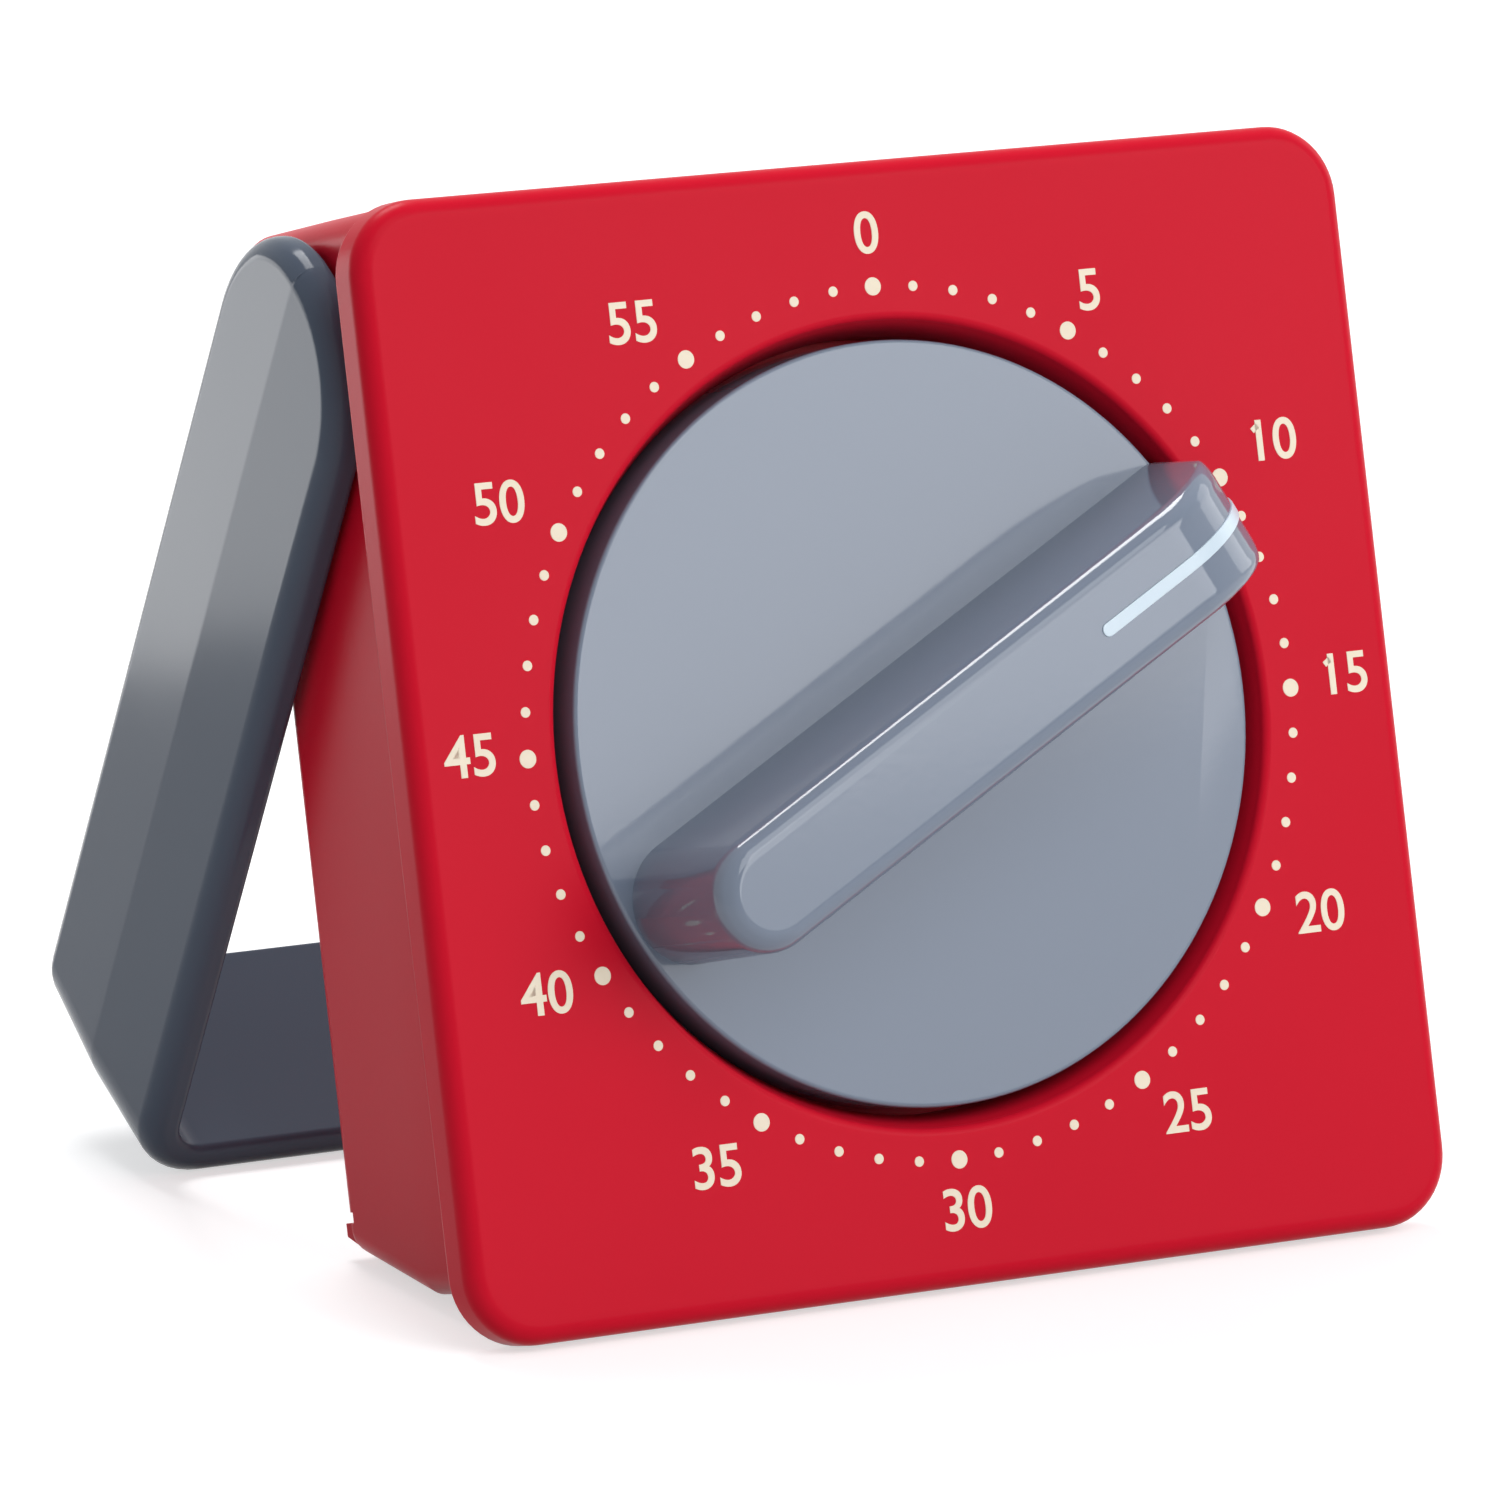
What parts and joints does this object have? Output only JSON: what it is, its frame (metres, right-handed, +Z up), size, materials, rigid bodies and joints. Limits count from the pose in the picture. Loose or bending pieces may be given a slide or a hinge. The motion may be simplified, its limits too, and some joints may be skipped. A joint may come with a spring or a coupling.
{
  "type": "wind-up countdown timer",
  "caption": "Square mechanical kitchen-style countdown timer with a large grip knob, a dished dial face and a fold-out U-shaped stand hinged at the top of its case.",
  "frame": {"origin": "on the table, under the middle of the timer's bounding box, with the stand open", "axes": "+X to the right of someone who faces the dial, +Y away from them, +Z up; the dial faces -Y and leans back"},
  "size_m": [0.075, 0.0732, 0.0729],
  "materials": {
    "red_plastic": "glossy moulded ABS",
    "grey_plastic": "satin-gloss moulded ABS",
    "slate_plastic": "glossy moulded ABS",
    "pale_plastic": "pale inlaid plastic",
    "brass": "stamped sheet, bright",
    "steel": "turned or stamped steel",
    "spring_steel": "blued spring strip",
    "bell_metal": "nickel-plated stamping"
  },
  "bodies": {
    "timer": {"front_bezel": "red_plastic", "case_shell": "red_plastic", "stand_pin_left": "steel", "stand_pin_right": "steel", "movement_front_plate": "brass", "movement_rear_plate": "brass", "mainspring": "spring_steel", "bell": "bell_metal", "bell_post": "steel", "bell_screw": "steel", "case_screw_1": "steel", "pillar_1": "steel", "movement_screw_1": "steel", "case_screw_2": "steel", "pillar_2": "steel", "movement_screw_2": "steel", "case_screw_3": "steel", "pillar_3": "steel", "movement_screw_3": "steel", "case_screw_4": "steel", "pillar_4": "steel", "movement_screw_4": "steel"},
    "knob": {"knob": "grey_plastic", "pointer_inlay": "pale_plastic", "main_arbor": "steel", "stop_cam": "steel", "main_wheel": "brass"},
    "second": {"second_arbor": "steel", "second_wheel": "brass"},
    "third": {"third_arbor": "steel", "third_wheel": "brass"},
    "escape": {"escape_arbor": "steel", "escape_wheel": "brass"},
    "pallet": {"pallet_arbor": "steel", "pallet_lever": "steel", "balance_ring": "brass"},
    "hammer": {"hammer_arbor": "steel", "release_arm": "steel", "hammer": "steel"},
    "stand": {"stand": "slate_plastic"}
  },
  "joints": [
    {"name": "knob_turn", "type": "hinge", "parent": "timer", "child": "knob", "pos_m": [0, -0.02175, 0.03702], "axis": [0, 0.9668, -0.2557], "range_deg": [-61.68, 292.32]},
    {"name": "second_spin", "type": "hinge", "parent": "timer", "child": "second", "pos_m": [0.01284, -0.01052, 0.02475], "axis": [0, 0.9668, -0.2557], "range_deg": [-1757.43, 370.82]},
    {"name": "third_spin", "type": "hinge", "parent": "timer", "child": "third", "pos_m": [0.00626, -0.01292, 0.01565], "axis": [0, 0.9668, -0.2557], "range_deg": [-2595.74, 12301.99]},
    {"name": "escape_spin", "type": "hinge", "parent": "timer", "child": "escape", "pos_m": [-0.00358, -0.01337, 0.01398], "axis": [0, 0.9668, -0.2557], "range_deg": [-98415.96, 20765.93]},
    {"name": "pallet_rock", "type": "hinge", "parent": "timer", "child": "pallet", "pos_m": [-0.01244, -0.01297, 0.01549], "axis": [0, 0.9668, -0.2557], "range_deg": [-3, 3]},
    {"name": "hammer_lift", "type": "hinge", "parent": "timer", "child": "hammer", "pos_m": [-0.0175, -0.00745, 0.03634], "axis": [0, 0.9668, -0.2557], "range_deg": [0, 6], "stiffness_Nm_per_rad": 0.0002, "springref_deg": -14.32},
    {"name": "stand_fold", "type": "hinge", "parent": "timer", "child": "stand", "pos_m": [0, -0.00243, 0.06118], "axis": [1, 0, 0], "range_deg": [-42, 0]}
  ],
  "couplings": [
    {"joint": "second_spin", "follows": "knob_turn", "ratio": -6},
    {"joint": "third_spin", "follows": "knob_turn", "ratio": 42},
    {"joint": "escape_spin", "follows": "knob_turn", "ratio": -336}
  ]
}
